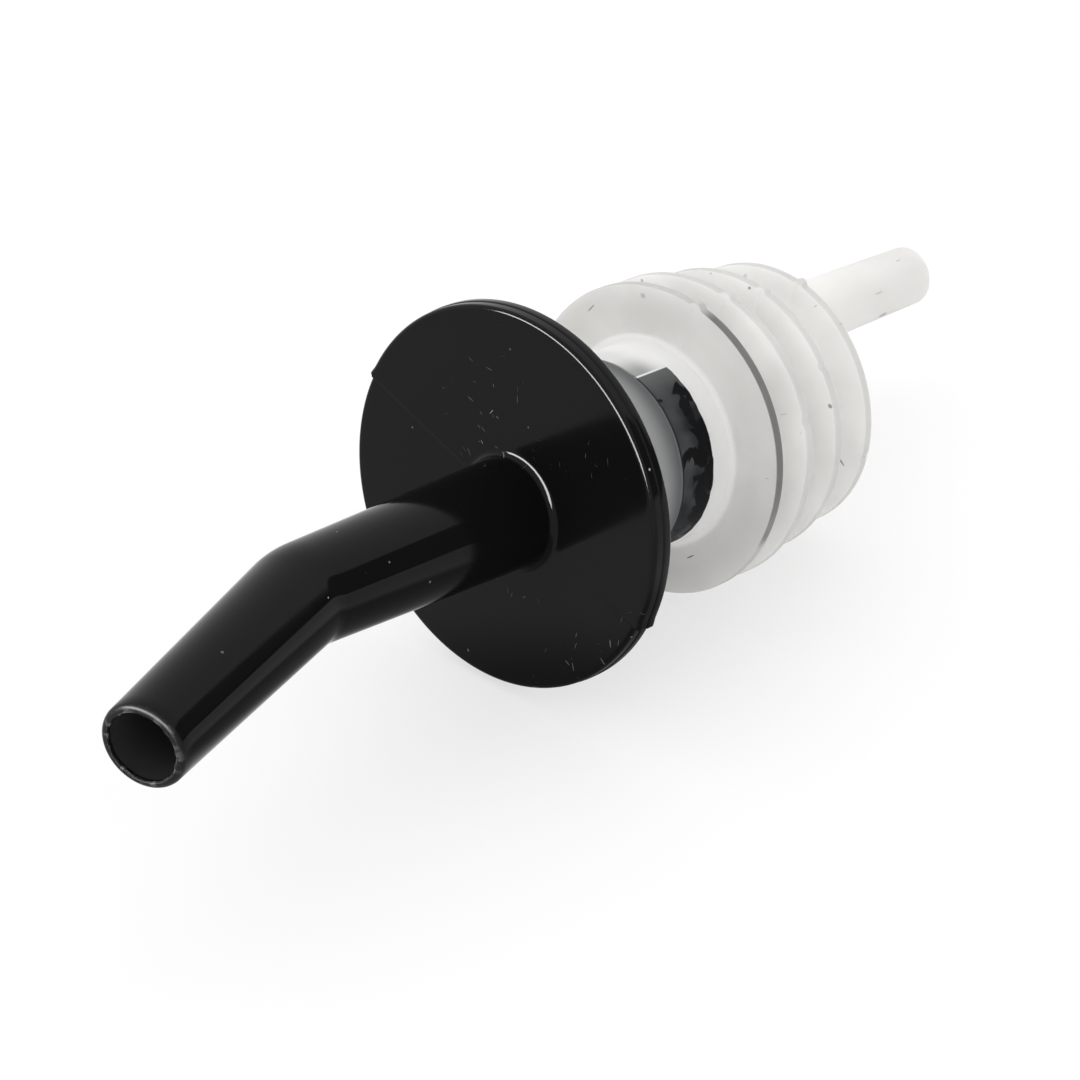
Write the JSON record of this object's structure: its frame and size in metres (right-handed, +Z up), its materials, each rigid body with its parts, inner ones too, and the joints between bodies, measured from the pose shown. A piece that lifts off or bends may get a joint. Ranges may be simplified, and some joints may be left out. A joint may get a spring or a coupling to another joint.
{
  "type": "liquor pourer",
  "caption": "Bottle pourer with a bent black spout on a round flange, a soft finned stopper, ball-metered flow and a breather tube with a check ball.",
  "frame": {"origin": "centre of the flange's underside, the plane that sits on the bottle's lip", "axes": "+Z up along the straight leg of the spout, out of the bottle; +X towards the side the spout pours to; the breather tube is on the -X side"},
  "size_m": [0.0298, 0.0298, 0.0988],
  "materials": {
    "black_gloss": "glossy black injection-moulded plastic",
    "milky_soft": "soft milky translucent polyethylene, satin, with moulding specks",
    "milky_firm": "milky translucent plastic, satin",
    "milky_tube": "milky translucent plastic tube, semi-gloss",
    "ball_steel": "polished stainless steel"
  },
  "bodies": {
    "pourer": {"spout_body": "black_gloss", "finned_stopper": "milky_soft", "metering_chamber": "milky_firm", "breather_tube": "milky_tube", "tube_end_bush": "milky_firm"},
    "lead_ball": {"lead_ball": "ball_steel"},
    "follow_ball": {"follow_ball": "ball_steel"},
    "breather_ball": {"breather_ball": "ball_steel"}
  },
  "joints": [
    {"name": "lead_ball_roll", "type": "slide", "parent": "pourer", "child": "lead_ball", "axis": [0, 0, 1], "range_m": [0, 0.017]},
    {"name": "follow_ball_roll", "type": "slide", "parent": "pourer", "child": "follow_ball", "axis": [0, 0, 1], "range_m": [0, 0.017]},
    {"name": "breather_ball_roll", "type": "slide", "parent": "pourer", "child": "breather_ball", "axis": [0, 0, 1], "range_m": [0, 0.0026]}
  ],
  "couplings": [
    {"joint": "follow_ball_roll", "follows": "lead_ball_roll", "ratio": 1}
  ]
}
